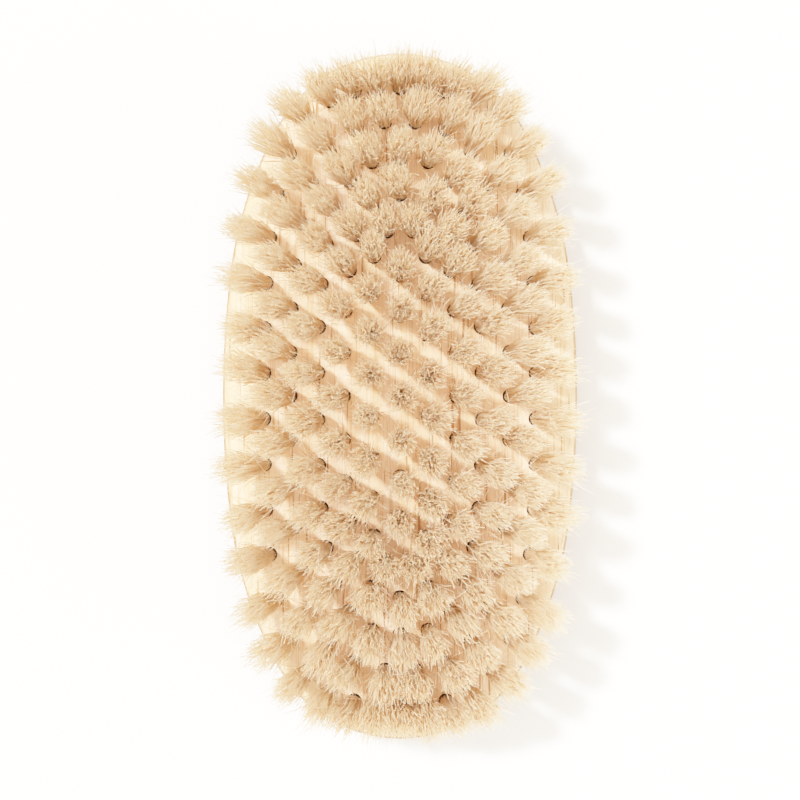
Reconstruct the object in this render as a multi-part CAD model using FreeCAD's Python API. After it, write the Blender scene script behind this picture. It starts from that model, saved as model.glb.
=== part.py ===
import FreeCAD, Part

import math
import os
from collections import namedtuple

from FreeCAD import Placement, Rotation, Vector

# An oval body dry brush. A hardwood block is drilled with blind holes in nested oval rings. Each hole
# holds a tuft of plant fibre, folded in half round a flat wire anchor that is driven in until its two
# ends bite into the wood.
#
# Millimetres. The origin is the centre of the block's flat back, which the brush rests on. +Z points
# out of the bristles, +Y runs along the block and +X across it.

# Block. Its oval is made of tangent arcs: a long one down each side, one round each end and a middling
# one at each of the four shoulders between them.
BLOCK_LENGTH = 140.0
BLOCK_WIDTH = 72.4
BLOCK_THICKNESS = 18.0
SIDE_ARC_RADIUS = 210.0
SHOULDER_ARC_RADIUS = 84.0
END_ARC_RADIUS = 28.5
FACE_EDGE_RADIUS = 2.0
BACK_EDGE_RADIUS = 5.0

# Finger groove, cut into the side all the way round the block
GROOVE_HEIGHT_FROM_BACK = 10.6
GROOVE_DEPTH = 1.5
GROOVE_RADIUS = 4.0
GROOVE_LIP_RADIUS = 1.2

# Holes
HOLE_RADIUS = 1.5
HOLE_DEPTH = 10.0
DRILL_POINT_HEIGHT = 0.9
DRILL_OVERRUN = 1.0

# The holes lean outwards. Seen along the block, their axes meet this far under the bristle face, and
# seen across it, they meet far deeper, so that the rows at the ends lean only a little.
SPLAY_DEPTH_ACROSS = 122.0
SPLAY_DEPTH_ALONG = 880.0

# Tufts
TUFT_RADIUS = 1.4
TUFT_TIP_RADIUS = 2.7
TUFT_HEIGHT = 22.0
TUFT_FOLD_DEPTH = 10.2
TRIM_ALLOWANCE = 3.0

# Anchors, flat wire standing on edge across the fold
ANCHOR_LENGTH = 4.0
ANCHOR_THICKNESS = 0.4
ANCHOR_WIRE_WIDTH = 1.8
ANCHOR_ABOVE_FOLD = 1.2

# One ring of holes lies on a superellipse. end_pitch is the spacing at the ring's ends as a share of the
# spacing at its sides, and crowding says how late on the way to the end the holes begin to close up.
# hole_at_end is True if a hole lies on the block's long centre line.
Ring = namedtuple("Ring", "name half_width half_length exponent count end_pitch crowding hole_at_end")
RINGS = (
    Ring("outer_ring", 27.7, 62.7, 3.1, 42, 0.50, 6.0, True),
    Ring("second_ring", 22.4, 55.8, 2.9, 34, 0.70, 4.0, False),
    Ring("third_ring", 16.7, 48.4, 2.9, 30, 0.60, 1.5, True),
    Ring("fourth_ring", 11.5, 41.0, 2.8, 24, 0.70, 2.0, True),
    Ring("inner_ring", 5.7, 33.6, 6.0, 20, 0.65, 6.0, False),
)
RING_STEPS = 2000
CENTRE_ROW_COUNT = 7
CENTRE_ROW_PITCH = 8.2

# A hole further along than this share of its ring's half length belongs to the ring's front or rear.
END_SHARE = 0.77

UP = Vector(0, 0, 1)


def outline_arcs():
    """The block's oval as arcs, counter-clockwise from the +X side: centre, radius, start and sweep."""
    side_x = BLOCK_WIDTH / 2 - SIDE_ARC_RADIUS
    end_y = BLOCK_LENGTH / 2 - END_ARC_RADIUS
    from_side = SIDE_ARC_RADIUS - SHOULDER_ARC_RADIUS
    from_end = SHOULDER_ARC_RADIUS - END_ARC_RADIUS
    between = math.hypot(side_x, end_y)
    towards_end = math.atan2(end_y, -side_x)
    at_side = math.acos((from_side ** 2 + between ** 2 - from_end ** 2) / (2 * from_side * between))
    side_turn = towards_end - at_side
    shoulder_x = side_x + from_side * math.cos(side_turn)
    shoulder_y = from_side * math.sin(side_turn)
    side_turn = math.degrees(side_turn)
    end_start = math.degrees(math.atan2(end_y - shoulder_y, -shoulder_x))
    shoulder_turn = end_start - side_turn

    arcs = []
    for half in (1, -1):
        start = 0 if half == 1 else 180
        right_shoulder = Vector(half * shoulder_x, half * shoulder_y, 0)
        left_shoulder = Vector(-half * shoulder_x, half * shoulder_y, 0)
        arcs += [
            (Vector(half * side_x, 0, 0), SIDE_ARC_RADIUS, start - side_turn, 2 * side_turn),
            (right_shoulder, SHOULDER_ARC_RADIUS, start + side_turn, shoulder_turn),
            (Vector(0, half * end_y, 0), END_ARC_RADIUS, start + end_start, 180 - 2 * end_start),
            (left_shoulder, SHOULDER_ARC_RADIUS, start + 180 - end_start, shoulder_turn),
        ]
    return arcs


def arc_about(centre, radius, start_degrees, end_degrees):
    """An arc in the XZ plane, with its angles counted from +X towards +Z."""
    points = []
    for degrees in (start_degrees, (start_degrees + end_degrees) / 2, end_degrees):
        angle = math.radians(degrees)
        points.append(centre + Vector(radius * math.cos(angle), 0, radius * math.sin(angle)))
    return Part.Arc(*points).toShape()


def side_profile():
    """The moulding that runs round the block, from the back up, with the block's widest line at x = 0."""
    back_centre = Vector(-BACK_EDGE_RADIUS, 0, BACK_EDGE_RADIUS)
    face_centre = Vector(-FACE_EDGE_RADIUS, 0, BLOCK_THICKNESS - FACE_EDGE_RADIUS)

    groove_centre = Vector(GROOVE_RADIUS - GROOVE_DEPTH, 0, GROOVE_HEIGHT_FROM_BACK)
    lip_distance = GROOVE_RADIUS + GROOVE_LIP_RADIUS
    lip_across = lip_distance - GROOVE_DEPTH
    lip_up = math.sqrt(lip_distance ** 2 - lip_across ** 2)
    lip_degrees = math.degrees(math.atan2(lip_up, lip_across))
    low_lip_centre = Vector(-GROOVE_LIP_RADIUS, 0, GROOVE_HEIGHT_FROM_BACK - lip_up)
    high_lip_centre = Vector(-GROOVE_LIP_RADIUS, 0, GROOVE_HEIGHT_FROM_BACK + lip_up)

    arcs = [
        arc_about(back_centre, BACK_EDGE_RADIUS, -90, 0),
        arc_about(low_lip_centre, GROOVE_LIP_RADIUS, 0, lip_degrees),
        arc_about(groove_centre, GROOVE_RADIUS, 180 + lip_degrees, 180 - lip_degrees),
        arc_about(high_lip_centre, GROOVE_LIP_RADIUS, -lip_degrees, 0),
        arc_about(face_centre, FACE_EDGE_RADIUS, 0, 90),
    ]
    below_groove = Part.makeLine(arcs[0].lastVertex().Point, arcs[1].firstVertex().Point)
    above_groove = Part.makeLine(arcs[3].lastVertex().Point, arcs[4].firstVertex().Point)
    return Part.Wire([arcs[0], below_groove, arcs[1], arcs[2], arcs[3], above_groove, arcs[4]])


def moulding_along(centre, radius, start, sweep):
    """The faces that the moulding makes along one arc of the oval."""
    moulding = side_profile()
    moulding.translate(Vector(radius, 0, 0))
    moulding.rotate(Vector(0, 0, 0), UP, start)
    faces = moulding.revolve(Vector(0, 0, 0), UP, sweep)
    faces.translate(centre)
    return faces.Faces


def flat_oval(inset, height):
    """A flat face, inset from the block's oval, at a height."""
    edges = []
    for centre, radius, start, sweep in outline_arcs():
        at_height = centre + Vector(0, 0, height)
        edges.append(Part.makeCircle(radius - inset, at_height, UP, start, start + sweep))
    return Part.Face(Part.Wire(edges))


def blank_block():
    """The block before drilling: the moulding run round the oval, closed by the back and the face."""
    faces = [flat_oval(BACK_EDGE_RADIUS, 0), flat_oval(FACE_EDGE_RADIUS, BLOCK_THICKNESS)]
    for arc in outline_arcs():
        faces += moulding_along(*arc)
    shell = Part.Shell(faces)
    shell.sewShape()
    return Part.Solid(shell)


def superellipse_point(half_width, half_length, exponent, angle):
    """A point of the oval |x / half_width|^exponent + |y / half_length|^exponent = 1."""
    x = half_width * max(math.cos(angle), 0.0) ** (2 / exponent)
    y = half_length * max(math.sin(angle), 0.0) ** (2 / exponent)
    return x, y


def ring_quadrant(ring):
    """The ring's holes from its end on the long centre line to its side, as x and y."""
    xs = []
    ys = []
    travel = [0.0]
    for step in range(RING_STEPS + 1):
        angle = math.pi / 2 * (1 - step / RING_STEPS)
        x, y = superellipse_point(ring.half_width, ring.half_length, ring.exponent, angle)
        if step:
            nearness = ((y + ys[-1]) / 2 / ring.half_length) ** ring.crowding
            spacing = 1 - (1 - ring.end_pitch) * nearness
            travel.append(travel[-1] + math.hypot(x - xs[-1], y - ys[-1]) / spacing)
        xs.append(x)
        ys.append(y)

    holes = []
    pitches = ring.count / 4
    place = 0.0 if ring.hole_at_end else 0.5
    step = 0
    while place <= pitches:
        target = travel[-1] * place / pitches
        while step < RING_STEPS and travel[step + 1] < target:
            step += 1
        next_step = min(step + 1, RING_STEPS)
        part = (target - travel[step]) / max(travel[next_step] - travel[step], 1e-9)
        x = xs[step] + part * (xs[next_step] - xs[step])
        y = ys[step] + part * (ys[next_step] - ys[step])
        holes.append((round(x, 3), round(y, 3)))
        place += 1.0
    return holes


def ring_holes(ring):
    """All the ring's holes, mirrored from one quadrant into the other three."""
    holes = set()
    for x, y in ring_quadrant(ring):
        for across in (1, -1):
            for along in (1, -1):
                holes.add((across * x + 0.0, along * y + 0.0))
    return sorted(holes)


def stretch_of(ring, hole):
    """The name of the stretch of its ring that a hole is in."""
    x, y = hole
    if abs(y) > END_SHARE * ring.half_length:
        return "front" if y > 0 else "rear"
    return "right" if x > 0 else "left"


def hole_groups():
    """The holes by group: four stretches to each ring, and the centre row."""
    groups = {}
    for ring in RINGS:
        for hole in ring_holes(ring):
            name = f"{ring.name}_{stretch_of(ring, hole)}"
            groups.setdefault(name, []).append(hole)
    half_row = (CENTRE_ROW_COUNT - 1) / 2
    groups["centre_row"] = [(0.0, CENTRE_ROW_PITCH * (place - half_row)) for place in range(CENTRE_ROW_COUNT)]
    return groups


def along_hole(hole):
    """Puts a shape made round the Z axis into a hole, with its zero height at the hole's mouth."""
    x, y = hole
    axis = Vector(x / SPLAY_DEPTH_ACROSS, y / SPLAY_DEPTH_ALONG, 1)
    return Placement(Vector(x, y, BLOCK_THICKNESS), Rotation(UP, axis))


def turned(edges):
    """The solid made by turning a closed profile in the XZ plane about the Z axis."""
    return Part.Face(Part.Wire(edges)).revolve(Vector(0, 0, 0), UP, 360)


def outline_edges(points):
    """Straight edges that join the points in turn."""
    return [Part.makeLine(start, end) for start, end in zip(points, points[1:])]


def drill_shape():
    """The space that the drill clears, with its pointed end."""
    points = [
        Vector(0, 0, DRILL_OVERRUN),
        Vector(0, 0, -HOLE_DEPTH - DRILL_POINT_HEIGHT),
        Vector(HOLE_RADIUS, 0, -HOLE_DEPTH),
        Vector(HOLE_RADIUS, 0, DRILL_OVERRUN),
        Vector(0, 0, DRILL_OVERRUN),
    ]
    return turned(outline_edges(points))


def anchor_shape():
    """One flat wire anchor, standing on edge and lying along the block."""
    low = ANCHOR_ABOVE_FOLD - TUFT_FOLD_DEPTH
    corner = Vector(-ANCHOR_THICKNESS / 2, -ANCHOR_LENGTH / 2, low)
    return Part.makeBox(ANCHOR_THICKNESS, ANCHOR_LENGTH, ANCHOR_WIRE_WIDTH, corner)


def untrimmed_tuft():
    """A tuft before it is trimmed: round at the fold, straight in the hole and flaring above it."""
    fold_centre = Vector(0, 0, TUFT_RADIUS - TUFT_FOLD_DEPTH)
    flare = (TUFT_TIP_RADIUS - TUFT_RADIUS) / TUFT_HEIGHT
    top = TUFT_HEIGHT + TRIM_ALLOWANCE
    fold = arc_about(fold_centre, TUFT_RADIUS, -90, 0)
    points = [
        fold_centre + Vector(TUFT_RADIUS, 0, 0),
        Vector(TUFT_RADIUS, 0, 0),
        Vector(TUFT_RADIUS + flare * top, 0, top),
        Vector(0, 0, top),
        Vector(0, 0, -TUFT_FOLD_DEPTH),
    ]
    return turned([fold] + outline_edges(points))


def trimmings():
    """Everything above the height that the bristles are cut level at."""
    corner = Vector(-BLOCK_WIDTH, -BLOCK_LENGTH, BLOCK_THICKNESS + TUFT_HEIGHT)
    return Part.makeBox(2 * BLOCK_WIDTH, 2 * BLOCK_LENGTH, 2 * TUFT_HEIGHT, corner)


def placed(shape, hole):
    """A copy of a shape, put into a hole."""
    copy = shape.copy()
    copy.Placement = along_hole(hole)
    return copy


def drilled_block(holes):
    """The block with its holes, and with the slots that the anchors' ends cut in their walls."""
    cutter = drill_shape().fuse(anchor_shape())
    return blank_block().cut([placed(cutter, hole) for hole in holes])


def anchors_in(holes):
    """The anchors of one group of holes."""
    return [placed(anchor_shape(), hole) for hole in holes]


def tufts_in(holes):
    """The tufts of one group of holes, trimmed level and folded round their anchors."""
    anchored_tuft = untrimmed_tuft().cut(anchor_shape())
    above = trimmings()
    return [placed(anchored_tuft, hole).cut(above) for hole in holes]


def write_part(name, solids):
    """Checks one node's solids and writes them to its STEP file."""
    for solid in solids:
        if len(solid.Solids) != 1 or not solid.isValid() or solid.Volume <= 0:
            raise ValueError(f"{name} has a solid that is not sound")
    shape = Part.makeCompound([solid.Solids[0] for solid in solids])
    shape.exportStep(f"parts/{name}.step")


def main():
    os.makedirs("parts", exist_ok=True)
    groups = hole_groups()
    every_hole = [hole for holes in groups.values() for hole in holes]
    write_part("wood_block", [drilled_block(every_hole)])
    for group, holes in groups.items():
        write_part(f"{group}_tufts", tufts_in(holes))
        write_part(f"{group}_anchors", anchors_in(holes))


main()
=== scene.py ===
import math

import bpy
import numpy as np
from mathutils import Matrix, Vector


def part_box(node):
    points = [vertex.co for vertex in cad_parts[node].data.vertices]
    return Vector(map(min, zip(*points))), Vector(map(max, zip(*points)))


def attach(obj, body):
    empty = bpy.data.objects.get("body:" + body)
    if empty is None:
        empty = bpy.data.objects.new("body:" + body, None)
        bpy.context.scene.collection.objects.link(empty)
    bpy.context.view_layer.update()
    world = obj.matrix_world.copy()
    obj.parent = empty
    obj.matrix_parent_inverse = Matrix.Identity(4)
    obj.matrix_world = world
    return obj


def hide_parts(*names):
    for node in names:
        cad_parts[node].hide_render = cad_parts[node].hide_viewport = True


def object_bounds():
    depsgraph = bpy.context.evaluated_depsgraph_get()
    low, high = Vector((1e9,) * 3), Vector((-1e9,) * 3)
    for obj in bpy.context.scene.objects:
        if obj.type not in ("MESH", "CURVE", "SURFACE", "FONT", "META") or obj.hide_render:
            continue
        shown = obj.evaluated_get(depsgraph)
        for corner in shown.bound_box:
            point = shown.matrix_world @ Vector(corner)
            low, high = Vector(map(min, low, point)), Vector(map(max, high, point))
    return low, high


# An oval body dry brush, seen from straight above its bristles. The CAD model holds the block, the holes
# and the wire anchors. Here the block gets its wood, and every tuft gets its plant fibres: strands that
# are folded in half under their anchor, come up through the hole and fan out to their trimmed tips.
#
# Metres, in the CAD frame: the block's flat back is at z = 0, +Z points out of the bristles and +Y runs
# along the block.

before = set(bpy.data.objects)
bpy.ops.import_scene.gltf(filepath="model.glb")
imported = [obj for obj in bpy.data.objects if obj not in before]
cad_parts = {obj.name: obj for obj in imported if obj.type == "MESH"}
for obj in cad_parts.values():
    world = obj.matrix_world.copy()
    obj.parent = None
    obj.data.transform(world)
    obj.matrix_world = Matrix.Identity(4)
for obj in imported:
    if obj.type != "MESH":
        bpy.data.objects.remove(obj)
cad_low, cad_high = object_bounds()

MM = 0.001
SEED = 20
FACE_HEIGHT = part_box("wood_block")[1].z
TRIM_HEIGHT = cad_high.z

# The holes lie inside an oval, and none is deeper than the reach.
DRILLED_HALF_WIDTH = cad_high.x * 0.84
DRILLED_HALF_LENGTH = cad_high.y * 0.94
DRILLED_OVAL_POWER = 2.9
HOLE_REACH = 12 * MM

# Camera and floor
CAMERA_ABOVE_FACE = 450 * MM
FRAME_WIDTH_AT_FACE = 162.8 * MM
SENSOR_WIDTH = 36.0
CAMERA_OFFSET_ALONG = -0.8 * MM
FLOOR_SIZE = 6.0

# Light: a key light high on the left, a reflector low on the right and a soft box overhead. Angles are
# in degrees. The key light's bearing is measured from -X towards +Y, and the soft box's tilt from straight
# up towards -X. The soft box's edge is the cosine of its half angle.
KEY_STRENGTH = 4.7
KEY_WIDTH = 4
KEY_BEARING = 32
KEY_ELEVATION = 66
REFLECTOR_SIZE = 1.2
REFLECTOR_POWER = 18
REFLECTOR_DISTANCE = 1.5
REFLECTOR_ELEVATION = 32
REFLECTOR_SIDESTEP = -0.25
STUDIO_TINT = (1.0, 0.93, 0.81)
WALL_LIGHT = 0.3
SOFT_BOX_LIGHT = 8.8
SOFT_BOX_EDGE = 0.82
SOFT_BOX_TILT = 5

# The film: the brightness that it shows as white, how fast it nears white, and the points on its curve.
FILM_WHITE = 3.0
FILM_SPEED = 1.25
FILM_STEPS = 15

# Strands. A strand is folded in two: its legs rise from the mouth of the hole to their tips.
STRANDS_PER_TUFT = 160
STRAND_SIDES = 3
STRAND_RADIUS = 0.060 * MM
LEG_POINTS = 5
ROOT_RADIUS = 1.32 * MM
THICKNESS_SPREAD = (0.7, 1.3)
OUTWARD_PUSH = 0.20 * MM
PUSH_FADE = 10 * MM
PUSH_ALONG = 0.3
TIP_SPREAD = 2.8 * MM
OUTER_SPREAD = 0.16
FLARE_POWER = 0.75
TANGLE = 0.34 * MM
CRIMP = 0.16 * MM
TUFT_LEAN = 0.45 * MM
WILD_SHARE = 0.08
WILD_REACH = (1.1, 1.5)
SHORT_SHARE = 0.15
SHORT_BY = (0.5 * MM, 5 * MM)
TRIM_SCATTER = 0.35 * MM
CROOK = 0.20 * MM
LEG_GAP = 0.04 * MM
TIP_THICKNESS = 0.8
ANCHOR_GAP = 0.28 * MM
FOLD_CLEARANCE = 0.12 * MM
FOLD_BELOW_ANCHOR = 0.9 * MM

# Stray fibres
FEWEST_STRAYS = 6
MOST_STRAYS = 11
STRAY_REACH = (3.0 * MM, 6.5 * MM)
STRAY_HEIGHT = (0.35, 0.97)
STRAY_CURL = 0.9 * MM
STRAY_THICKNESS_SPREAD = (0.9, 1.2)
STRAY_TIP_THICKNESS = 0.6

# Colours
BEECH_TONES = ((0.32, (0.88, 0.61, 0.36)), (0.52, (0.93, 0.68, 0.46)), (0.70, (0.96, 0.74, 0.55)))
BEECH_STREAK = (0.72, 0.45, 0.24)
BEECH_PORE = (0.50, 0.26, 0.12)
# Inside the holes: scorched wood, darkened further by painted shade.
BEECH_HOLE_BURN_AND_SHADE = (0.16, 0.05, 0.01)
# Painted shade on the block's rounded side.
BEECH_SIDE_SHADE = (0.36, 0.17, 0.06)
FIBRE_TONES = (
    (0.0, (0.74, 0.50, 0.25)),
    (0.2, (0.90, 0.73, 0.48)),
    (0.6, (0.95, 0.85, 0.66)),
    (1.0, (0.99, 0.95, 0.86)),
)
FIBRE_TIP = (0.97, 0.91, 0.79)
# Strands inside the holes: painted shade.
FIBRE_HOLE_SHADE = (0.26, 0.10, 0.03)
FIBRE_FLECK = (0.82, 0.62, 0.34)
BRASS_TONES = ((0.3, (0.56, 0.38, 0.15)), (0.7, (0.72, 0.53, 0.25)))
FLOOR_COLOUR = (0.88, 0.88, 0.88)


# ---- Where the holes are ----------------------------------------------------------------------------

def solids_of(node):
    """The points of each separate solid in a CAD node."""
    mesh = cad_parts[node].data
    points = np.zeros(len(mesh.vertices) * 3)
    mesh.vertices.foreach_get("co", points)
    points, index = np.unique(np.round(points.reshape(-1, 3), 7), axis=0, return_inverse=True)
    ends = np.zeros(len(mesh.edges) * 2, int)
    mesh.edges.foreach_get("vertices", ends)
    ends = index.reshape(-1)[ends].reshape(-1, 2)
    labels = np.arange(len(points))
    while True:
        lowest = labels[ends].min(axis=1)
        before = labels.copy()
        np.minimum.at(labels, ends[:, 0], lowest)
        np.minimum.at(labels, ends[:, 1], lowest)
        if (labels == before).all():
            break
    return [points[labels == label] for label in np.unique(labels)]


def middle(points):
    return (points.min(axis=0) + points.max(axis=0)) / 2


def read_tufts(group):
    """The group's tufts: each one's place at the hole's mouth, its axis, and how deep its anchor is.

    An anchor's middle lies on its hole's axis, and so does the middle of the tuft's trimmed tip.
    """
    tips = []
    for points in solids_of(group + "_tufts"):
        top = points[:, 2].max()
        tips.append(middle(points[points[:, 2] > top - 0.01 * MM]))
    tips = np.array(tips)
    tufts = []
    for points in solids_of(group + "_anchors"):
        anchor = middle(points)
        tip = tips[np.argmin(np.hypot(tips[:, 0] - anchor[0], tips[:, 1] - anchor[1]))]
        axis = (tip - anchor) / np.linalg.norm(tip - anchor)
        mouth = anchor + axis * (FACE_HEIGHT - anchor[2]) / axis[2]
        tufts.append((mouth, axis, np.linalg.norm(mouth - anchor)))
    return tufts


# ---- Strands ----------------------------------------------------------------------------------------

def tubes(paths, radii):
    """Closed tubes: their points, the quads of their sides and the triangles of their ends.

    paths holds each tube's points, and radii its radius at each point.
    """
    count, length = radii.shape
    ahead = np.zeros_like(paths)
    ahead[:, 1:-1] = paths[:, 2:] - paths[:, :-2]
    ahead[:, 0] = paths[:, 1] - paths[:, 0]
    ahead[:, -1] = paths[:, -1] - paths[:, -2]
    ahead /= np.linalg.norm(ahead, axis=2, keepdims=True)

    side = np.cross(ahead[:, 0], np.array([0.3, 0.9, 0.1]))
    rings = []
    turns = 2 * math.pi * np.arange(STRAND_SIDES) / STRAND_SIDES
    for step in range(length):
        along = ahead[:, step]
        side = side - along * (side * along).sum(axis=1, keepdims=True)
        side /= np.linalg.norm(side, axis=1, keepdims=True)
        other = np.cross(along, side)
        spokes = side[:, None] * np.cos(turns)[None, :, None] + other[:, None] * np.sin(turns)[None, :, None]
        rings.append(paths[:, step, None] + spokes * radii[:, step, None, None])
    points = np.stack(rings, axis=1).reshape(-1, 3)

    ring = np.arange(STRAND_SIDES)
    tube_starts = np.arange(count)[:, None, None] * length * STRAND_SIDES
    ring_starts = tube_starts + np.arange(length - 1)[None, :, None] * STRAND_SIDES
    low = ring_starts + ring
    low_next = ring_starts + np.roll(ring, -1)
    quads = np.stack([low, low_next, low_next + STRAND_SIDES, low + STRAND_SIDES], axis=-1).reshape(-1, 4)
    first_ends = (tube_starts[:, 0] + ring[::-1]).reshape(-1, STRAND_SIDES)
    last_ends = (tube_starts[:, 0] + (length - 1) * STRAND_SIDES + ring).reshape(-1, STRAND_SIDES)
    return points, quads, np.concatenate([first_ends, last_ends])


def mesh_of(name, parts):
    """One mesh of several sets of tubes."""
    points = np.concatenate([part[0] for part in parts])
    offsets = np.cumsum([0] + [len(part[0]) for part in parts[:-1]])
    quads = np.concatenate([part[1] + offset for part, offset in zip(parts, offsets)])
    ends = np.concatenate([part[2] + offset for part, offset in zip(parts, offsets)])
    corners = np.concatenate([quads.ravel(), ends.ravel()])
    starts = np.concatenate([np.arange(len(quads)) * 4, quads.size + np.arange(len(ends)) * STRAND_SIDES])

    mesh = bpy.data.meshes.new(name)
    mesh.vertices.add(len(points))
    mesh.vertices.foreach_set("co", points.ravel())
    mesh.loops.add(len(corners))
    mesh.loops.foreach_set("vertex_index", corners)
    mesh.polygons.add(len(starts))
    mesh.polygons.foreach_set("loop_start", starts)
    mesh.update(calc_edges=True)
    mesh.shade_flat()
    return mesh


def tuft_sides(axis):
    """The two directions across a tuft: one across the block, one along it."""
    across = np.cross(np.array([0.0, 1.0, 0.0]), axis)
    across /= np.linalg.norm(across)
    return across, np.cross(axis, across)


def place(mouth, tuft_axes, sideways, heights):
    """Puts a tuft's own coordinates into the brush's frame."""
    across, along, axis = tuft_axes
    return mouth + sideways[..., :1] * across + sideways[..., 1:] * along + heights[..., None] * axis


def disc_points(count, radius, rng):
    """Evenly crowded points in a disc, a little shaken."""
    number = np.arange(count)
    reach = radius * np.sqrt((number + 0.5) / count)
    turn = number * math.pi * (3 - math.sqrt(5)) + rng.uniform(0, 2 * math.pi)
    points = np.stack([reach * np.cos(turn), reach * np.sin(turn)], axis=1)
    points += rng.normal(0, 0.05 * radius, (count, 2))
    return points * np.minimum(1, radius / np.linalg.norm(points, axis=1, keepdims=True))


def two_legs(rng):
    """Where a tuft's legs come up through the mouth: one leg of each strand on either side of the anchor."""
    roots = disc_points(2 * STRANDS_PER_TUFT, ROOT_RADIUS, rng)
    roots = roots[np.argsort(roots[:, 0])]
    roots[:, 0] += np.sign(roots[:, 0]) * LEG_GAP
    first = roots[STRANDS_PER_TUFT:]
    second = roots[:STRANDS_PER_TUFT]
    return first[np.argsort(first[:, 1])], second[np.argsort(second[:, 1])]


def leg_points(roots, tips, heights, rng):
    """Each leg's points from the mouth to the tip: sideways offsets and heights along the hole's axis."""
    count = len(roots)
    share = np.linspace(0, 1, LEG_POINTS)
    crimp = rng.normal(0, CRIMP, (count, LEG_POINTS, 2)) * np.minimum(1, 3 * share)[None, :, None]
    crook = rng.normal(0, CROOK, (count, 2)) * (1 + 3 * rng.random((count, 1)) ** 3)
    sideways = roots[:, None] + (tips - roots)[:, None] * (share ** FLARE_POWER)[None, :, None]
    sideways = sideways + crimp + crook[:, None] * (share ** 6)[None, :, None]
    return sideways, heights[:, None] * share[None]


def fold_points(first, second, depth):
    """The turn under the anchor that joins each strand's two legs."""
    first_gap = np.maximum(np.abs(first[:, 0]), ANCHOR_GAP)
    second_gap = np.maximum(np.abs(second[:, 0]), ANCHOR_GAP)
    half_way = (first[:, 1] + second[:, 1]) / 2
    lowest = depth + FOLD_CLEARANCE + 0.35 * (first_gap + second_gap)
    turns = (
        (first_gap, first[:, 1], np.full(len(first), depth)),
        (np.zeros(len(first)), half_way, lowest),
        (-second_gap, second[:, 1], np.full(len(first), depth)),
    )
    sideways = np.stack([np.stack([x, y], axis=1) for x, y, drop in turns], axis=1)
    return sideways, -np.stack([drop for x, y, drop in turns], axis=1)


def tuft_strands(tuft, rng):
    """The strands of one tuft, tip to tip under the anchor, with their radii."""
    mouth, axis, anchor_depth = tuft
    across, along = tuft_sides(axis)
    first, second = two_legs(rng)

    # A tuft far from the middle fans out more.
    outwardness = math.hypot(mouth[0] / cad_high.x, mouth[1] / cad_high.y)
    tip_spread = TIP_SPREAD * (1 + OUTER_SPREAD * outwardness ** 2)
    spread = tip_spread / ROOT_RADIUS * rng.normal(1.0, 0.05)
    squeeze = rng.normal(1.0, 0.07, 2)
    lean = rng.normal(0, TUFT_LEAN, 2)

    legs = []
    for roots in (first, second):
        count = len(roots)
        wild = rng.uniform(*WILD_REACH, (count, 1)) ** (rng.random((count, 1)) < WILD_SHARE)
        tips = roots * spread * squeeze * wild * rng.normal(1.0, 0.08, (count, 1)) + lean
        tips += rng.normal(0, TANGLE, (count, 2))
        trim = TRIM_HEIGHT - np.abs(rng.normal(0, TRIM_SCATTER, count))
        trim -= (rng.random(count) < SHORT_SHARE) * rng.uniform(*SHORT_BY, count)
        rise = trim - mouth[2] - tips[:, 0] * across[2] - tips[:, 1] * along[2]
        legs.append(leg_points(roots, tips, rise / axis[2], rng))
    fold = fold_points(first, second, anchor_depth + FOLD_BELOW_ANCHOR)
    sideways = np.concatenate([legs[0][0][:, ::-1], fold[0], legs[1][0]], axis=1)
    heights = np.concatenate([legs[0][1][:, ::-1], fold[1], legs[1][1]], axis=1)

    # The bundle leans on the outer side of its hole, which leaves a dark gap on the inner side.
    outward = np.array([mouth[0], mouth[1] * PUSH_ALONG, 0.0])
    outward *= OUTWARD_PUSH / max(np.linalg.norm(outward), PUSH_FADE)
    paths = place(mouth + outward, (across, along, axis), sideways, heights)
    thickness = STRAND_RADIUS * rng.uniform(*THICKNESS_SPREAD, (len(paths), 1))
    taper = np.ones(paths.shape[1])
    taper[0] = taper[-1] = TIP_THICKNESS
    return paths, thickness * taper


def stray_strands(tuft, rng):
    """Loose fibres that bend away from their tuft."""
    mouth, axis, anchor_depth = tuft
    across, along = tuft_sides(axis)
    count = rng.integers(FEWEST_STRAYS, MOST_STRAYS + 1)
    turn = rng.uniform(0, 2 * math.pi, count)
    direction = np.stack([np.cos(turn), np.sin(turn)], axis=1)
    sidestep = np.stack([-direction[:, 1], direction[:, 0]], axis=1)
    roots = direction * rng.uniform(0.6, 0.95, (count, 1)) * ROOT_RADIUS
    tips = roots + direction * rng.uniform(*STRAY_REACH, (count, 1))
    rise = rng.uniform(*STRAY_HEIGHT, count) * (TRIM_HEIGHT - mouth[2])
    rise -= tips[:, 0] * across[2] + tips[:, 1] * along[2]

    # The first point is inside the hole.
    share = np.array([-0.12, 0.0, 0.15, 0.32, 0.5, 0.68, 0.85, 1.0])
    above = np.clip(share, 0, 1)[None]
    spread = above ** rng.uniform(1.0, 2.2, (count, 1))
    curl = rng.normal(0, STRAY_CURL, (count, 1)) * np.sin(math.pi * above)
    sideways = roots[:, None] + (tips - roots)[:, None] * spread[..., None]
    sideways += sidestep[:, None] * curl[..., None]
    paths = place(mouth, (across, along, axis), sideways, rise[:, None] * share[None])
    thickness = STRAND_RADIUS * rng.uniform(*STRAY_THICKNESS_SPREAD, (count, 1))
    return paths, thickness * np.linspace(1.0, STRAY_TIP_THICKNESS, paths.shape[1])


def fibre_piece(group, material, rng):
    """All the fibres of one group of tufts, as one piece."""
    tufts = read_tufts(group)
    parts = []
    for maker in (tuft_strands, stray_strands):
        made = [maker(tuft, rng) for tuft in tufts]
        paths = np.concatenate([path for path, radius in made])
        radii = np.concatenate([radius for path, radius in made])
        parts.append(tubes(paths, radii))
    name = group + "_fibres"
    mesh = mesh_of(name, parts)
    mesh.materials.append(material)
    piece = bpy.data.objects.new(name, mesh)
    bpy.context.scene.collection.objects.link(piece)
    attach(piece, "root")
    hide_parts(group + "_tufts")


# ---- Material nodes ---------------------------------------------------------------------------------

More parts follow.
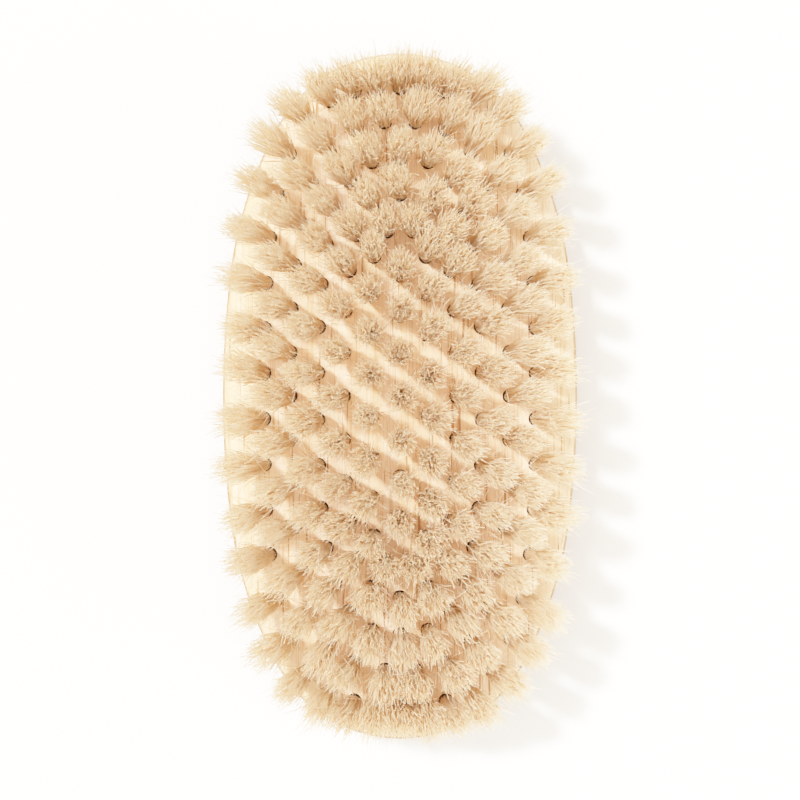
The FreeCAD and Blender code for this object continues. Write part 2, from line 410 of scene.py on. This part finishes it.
def new_material(name):
    material = bpy.data.materials.new(name)
    material.use_nodes = True
    nodes = material.node_tree.nodes
    nodes.clear()
    output = nodes.new("ShaderNodeOutputMaterial")
    shader = nodes.new("ShaderNodeBsdfPrincipled")
    material.node_tree.links.new(shader.outputs["BSDF"], output.inputs["Surface"])
    return material, shader


def stretched_noise(tree, scale, stretch, detail):
    """A noise texture over the object's own coordinates, stretched by stretch on each axis."""
    coordinates = tree.nodes.new("ShaderNodeTexCoord")
    mapping = tree.nodes.new("ShaderNodeMapping")
    mapping.inputs["Scale"].default_value = stretch
    noise = tree.nodes.new("ShaderNodeTexNoise")
    noise.inputs["Scale"].default_value = scale
    noise.inputs["Detail"].default_value = detail
    tree.links.new(coordinates.outputs["Object"], mapping.inputs["Vector"])
    tree.links.new(mapping.outputs["Vector"], noise.inputs["Vector"])
    return noise.outputs["Fac"]


def ramp(tree, factor, stops):
    node = tree.nodes.new("ShaderNodeValToRGB")
    elements = node.color_ramp.elements
    while len(elements) < len(stops):
        elements.new(0.5)
    for element, (position, colour) in zip(elements, stops):
        element.position = position
        element.color = (*colour, 1.0)
    tree.links.new(factor, node.inputs["Fac"])
    return node.outputs["Color"]


def mix_colours(tree, factor, first, second):
    """From the first colour to the second. A colour is an output of another node, or its three shares."""
    node = tree.nodes.new("ShaderNodeMix")
    node.data_type = "RGBA"
    sockets = {socket.name: socket for socket in node.inputs if socket.enabled}
    tree.links.new(factor, sockets["Factor"])
    for name, colour in (("A", first), ("B", second)):
        if isinstance(colour, bpy.types.NodeSocket):
            tree.links.new(colour, sockets[name])
        else:
            sockets[name].default_value = (*colour, 1.0)
    return next(socket for socket in node.outputs if socket.enabled)


def between(tree, value, low, high):
    """0 below low, 1 above high and a smooth rise from one to the other."""
    node = tree.nodes.new("ShaderNodeMapRange")
    node.interpolation_type = "SMOOTHSTEP"
    node.inputs["From Min"].default_value = low
    node.inputs["From Max"].default_value = high
    tree.links.new(value, node.inputs["Value"])
    return node.outputs["Result"]


def math_node(tree, operation, *values):
    node = tree.nodes.new("ShaderNodeMath")
    node.operation = operation
    for socket, value in zip(node.inputs, values):
        if isinstance(value, bpy.types.NodeSocket):
            tree.links.new(value, socket)
        else:
            socket.default_value = value
    return node.outputs["Value"]


def split_axes(tree, vector):
    split = tree.nodes.new("ShaderNodeSeparateXYZ")
    tree.links.new(vector, split.inputs["Vector"])
    return split.outputs["X"], split.outputs["Y"], split.outputs["Z"]


def object_axes(tree):
    return split_axes(tree, tree.nodes.new("ShaderNodeTexCoord").outputs["Object"])


# ---- Materials --------------------------------------------------------------------------------------

def inside_drilled_oval(tree):
    """1 inside the oval that holds all the holes, and 0 outside it."""
    x, y, z = object_axes(tree)
    reach = []
    for value, half in ((x, DRILLED_HALF_WIDTH), (y, DRILLED_HALF_LENGTH)):
        share = math_node(tree, "DIVIDE", math_node(tree, "ABSOLUTE", value), half)
        reach.append(math_node(tree, "POWER", share, DRILLED_OVAL_POWER))
    return math_node(tree, "LESS_THAN", math_node(tree, "ADD", *reach), 1.0)


def wood_material():
    """Pale beech: soft growth rings, fine streaks and fine dark pores that run along the block."""
    material, shader = new_material("beech")
    tree = material.node_tree
    rings = stretched_noise(tree, 420.0, (1.0, 0.02, 1.0), 2.0)
    colour = ramp(tree, rings, BEECH_TONES)
    streaks = stretched_noise(tree, 4200.0, (1.0, 0.018, 1.0), 2.0)
    colour = mix_colours(tree, between(tree, streaks, 0.50, 0.72), colour, BEECH_STREAK)
    pores = stretched_noise(tree, 1800.0, (1.0, 0.030, 1.0), 1.0)
    colour = mix_colours(tree, between(tree, pores, 0.645, 0.70), colour, BEECH_PORE)

    # The drilled holes are dark brown: the drill scorched them, and painted shade darkens them further for
    # their depth. The side of the block gets a little painted shade too.
    drilled = inside_drilled_oval(tree)
    x, y, z = object_axes(tree)
    below_face = math_node(tree, "LESS_THAN", z, FACE_HEIGHT - 0.03 * MM)
    above_floor = math_node(tree, "GREATER_THAN", z, FACE_HEIGHT - HOLE_REACH)
    hole_burn_and_shade = math_node(tree, "MULTIPLY", drilled, math_node(tree, "MULTIPLY", below_face, above_floor))
    colour = mix_colours(tree, hole_burn_and_shade, colour, BEECH_HOLE_BURN_AND_SHADE)
    # Painted shade on the rounded side of the block, outside the drilled oval, where it turns away from the
    # light.
    normal = tree.nodes.new("ShaderNodeNewGeometry").outputs["Normal"]
    level = math_node(tree, "ABSOLUTE", split_axes(tree, normal)[2])
    outside = math_node(tree, "SUBTRACT", 1.0, drilled)
    side = math_node(tree, "SUBTRACT", outside, between(tree, level, 0.55, 0.75))
    side_shade_share = math_node(tree, "MULTIPLY", math_node(tree, "MAXIMUM", side, 0.0), 0.75)
    colour = mix_colours(tree, side_shade_share, colour, BEECH_SIDE_SHADE)
    tree.links.new(colour, shader.inputs["Base Color"])
    tree.links.new(math_node(tree, "MULTIPLY_ADD", streaks, 0.3, 0.4), shader.inputs["Roughness"])
    shader.inputs["Specular IOR Level"].default_value = 0.12

    bump = tree.nodes.new("ShaderNodeBump")
    bump.inputs["Strength"].default_value = 0.25
    bump.inputs["Distance"].default_value = 0.05 * MM
    tree.links.new(streaks, bump.inputs["Height"])
    tree.links.new(bump.outputs["Normal"], shader.inputs["Normal"])
    return material


def fibre_material():
    """Tampico: each strand has its own tone, golden at the root and paler towards its tip."""
    material, shader = new_material("tampico")
    tree = material.node_tree
    own = tree.nodes.new("ShaderNodeNewGeometry").outputs["Random Per Island"]
    colour = ramp(tree, own, FIBRE_TONES)
    x, y, z = object_axes(tree)
    near_tip = between(tree, z, TRIM_HEIGHT - 13 * MM, TRIM_HEIGHT - 0.5 * MM)
    colour = mix_colours(tree, math_node(tree, "MULTIPLY", near_tip, 0.6), colour, FIBRE_TIP)
    # Below the face the strands take painted shade, dark brown, for the inside of the hole.
    clear_of_hole_shade = between(tree, z, FACE_HEIGHT - 0.8 * MM, FACE_HEIGHT + 0.15 * MM)
    colour = mix_colours(tree, clear_of_hole_shade, FIBRE_HOLE_SHADE, colour)
    flecks = stretched_noise(tree, 700.0, (1.0, 1.0, 1.0), 2.0)
    fleck = math_node(tree, "MULTIPLY", between(tree, flecks, 0.55, 0.75), 0.35)
    colour = mix_colours(tree, fleck, colour, FIBRE_FLECK)
    tree.links.new(colour, shader.inputs["Base Color"])
    tree.links.new(math_node(tree, "MULTIPLY_ADD", flecks, 0.5, 0.32), shader.inputs["Roughness"])
    shader.inputs["Specular IOR Level"].default_value = 0.2
    return material


def anchor_material():
    material, shader = new_material("flat_brass_wire")
    tree = material.node_tree
    scratches = stretched_noise(tree, 3000.0, (1.0, 0.1, 1.0), 2.0)
    colour = ramp(tree, scratches, BRASS_TONES)
    tree.links.new(colour, shader.inputs["Base Color"])
    tree.links.new(math_node(tree, "MULTIPLY_ADD", scratches, 0.3, 0.2), shader.inputs["Roughness"])
    shader.inputs["Metallic"].default_value = 1.0
    return material


def floor_material():
    material, shader = new_material("pale_floor")
    shader.inputs["Base Color"].default_value = (*FLOOR_COLOUR, 1.0)
    shader.inputs["Roughness"].default_value = 0.9
    return material


def cover(node, material):
    """Gives a CAD node a material."""
    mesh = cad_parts[node].data
    mesh.materials.clear()
    mesh.materials.append(material)


# ---- Scene ------------------------------------------------------------------------------------------

def add_floor():
    half = FLOOR_SIZE / 2
    mesh = bpy.data.meshes.new("floor")
    corners = [(-half, -half, 0), (half, -half, 0), (half, half, 0), (-half, half, 0)]
    mesh.from_pydata(corners, [], [(0, 1, 2, 3)])
    mesh.materials.append(floor_material())
    floor = bpy.data.objects.new("floor", mesh)
    floor.location.z = cad_low.z
    bpy.context.scene.collection.objects.link(floor)


def add_camera():
    data = bpy.data.cameras.new("camera")
    data.sensor_width = SENSOR_WIDTH
    data.lens = SENSOR_WIDTH * CAMERA_ABOVE_FACE / FRAME_WIDTH_AT_FACE
    camera = bpy.data.objects.new("camera", data)
    bpy.context.scene.collection.objects.link(camera)
    camera.location = (0, CAMERA_OFFSET_ALONG, FACE_HEIGHT + CAMERA_ABOVE_FACE)
    bpy.context.scene.camera = camera


def add_lamp(data, towards):
    """Adds a lamp that shines from a direction onto the middle of the brush."""
    lamp = bpy.data.objects.new(data.name, data)
    lamp.rotation_euler = towards.to_track_quat("Z", "Y").to_euler()
    bpy.context.scene.collection.objects.link(lamp)
    return lamp


def add_key_light():
    data = bpy.data.lights.new("key", "SUN")
    data.energy = KEY_STRENGTH
    data.angle = math.radians(KEY_WIDTH)
    bearing = math.radians(KEY_BEARING)
    elevation = math.radians(KEY_ELEVATION)
    level = math.cos(elevation)
    add_lamp(data, Vector((-math.cos(bearing) * level, math.sin(bearing) * level, math.sin(elevation))))


def add_reflector():
    """A large soft light low on the right, which fills the key light's shadow."""
    data = bpy.data.lights.new("reflector", "AREA")
    data.size = REFLECTOR_SIZE
    data.energy = REFLECTOR_POWER
    elevation = math.radians(REFLECTOR_ELEVATION)
    towards = Vector((math.cos(elevation), REFLECTOR_SIDESTEP, math.sin(elevation)))
    lamp = add_lamp(data, towards)
    lamp.location = towards * REFLECTOR_DISTANCE


def add_studio():
    """The studio around the brush: dim walls, and a soft box overhead that is brightest in its middle."""
    world = bpy.data.worlds.new("studio")
    world.use_nodes = True
    tree = world.node_tree
    background = tree.nodes["Background"]
    background.inputs["Color"].default_value = (*STUDIO_TINT, 1.0)
    x, y, z = split_axes(tree, tree.nodes.new("ShaderNodeTexCoord").outputs["Generated"])
    tilt = math.radians(SOFT_BOX_TILT)
    upward = math_node(tree, "MULTIPLY", z, math.cos(tilt))
    towards_box = math_node(tree, "MULTIPLY_ADD", x, -math.sin(tilt), upward)
    brightness = tree.nodes.new("ShaderNodeMapRange")
    brightness.inputs["From Min"].default_value = SOFT_BOX_EDGE
    brightness.inputs["To Min"].default_value = WALL_LIGHT
    brightness.inputs["To Max"].default_value = SOFT_BOX_LIGHT
    tree.links.new(towards_box, brightness.inputs["Value"])
    tree.links.new(brightness.outputs["Result"], background.inputs["Strength"])
    bpy.context.scene.world = world


def film_tone(light):
    """The tone for a brightness. Bright tones crowd together towards white."""
    return (1 - math.exp(-FILM_SPEED * light)) / (1 - math.exp(-FILM_SPEED * FILM_WHITE))


def set_film():
    """Bright tones roll off to white, each channel on its own, as on film."""
    view = bpy.context.scene.view_settings
    view.view_transform = "Standard"
    view.use_curve_mapping = True
    mapping = view.curve_mapping
    mapping.white_level = (FILM_WHITE, FILM_WHITE, FILM_WHITE)
    combined = mapping.curves[3]
    for step in range(1, FILM_STEPS):
        share = step / FILM_STEPS
        combined.points.new(share, film_tone(share * FILM_WHITE))
    mapping.update()


def set_bounces():
    """Enough bounces for light to come back out from between pale strands."""
    cycles = bpy.context.scene.cycles
    cycles.max_bounces = 24
    cycles.diffuse_bounces = 20


def main():
    set_film()
    set_bounces()
    add_camera()
    add_floor()
    add_key_light()
    add_reflector()
    add_studio()

    cover("wood_block", wood_material())
    anchor_metal = anchor_material()
    fibre = fibre_material()
    rng = np.random.default_rng(SEED)
    for node in sorted(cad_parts):
        if node.endswith("_anchors"):
            cover(node, anchor_metal)
            fibre_piece(node.removesuffix("_anchors"), fibre, rng)


main()
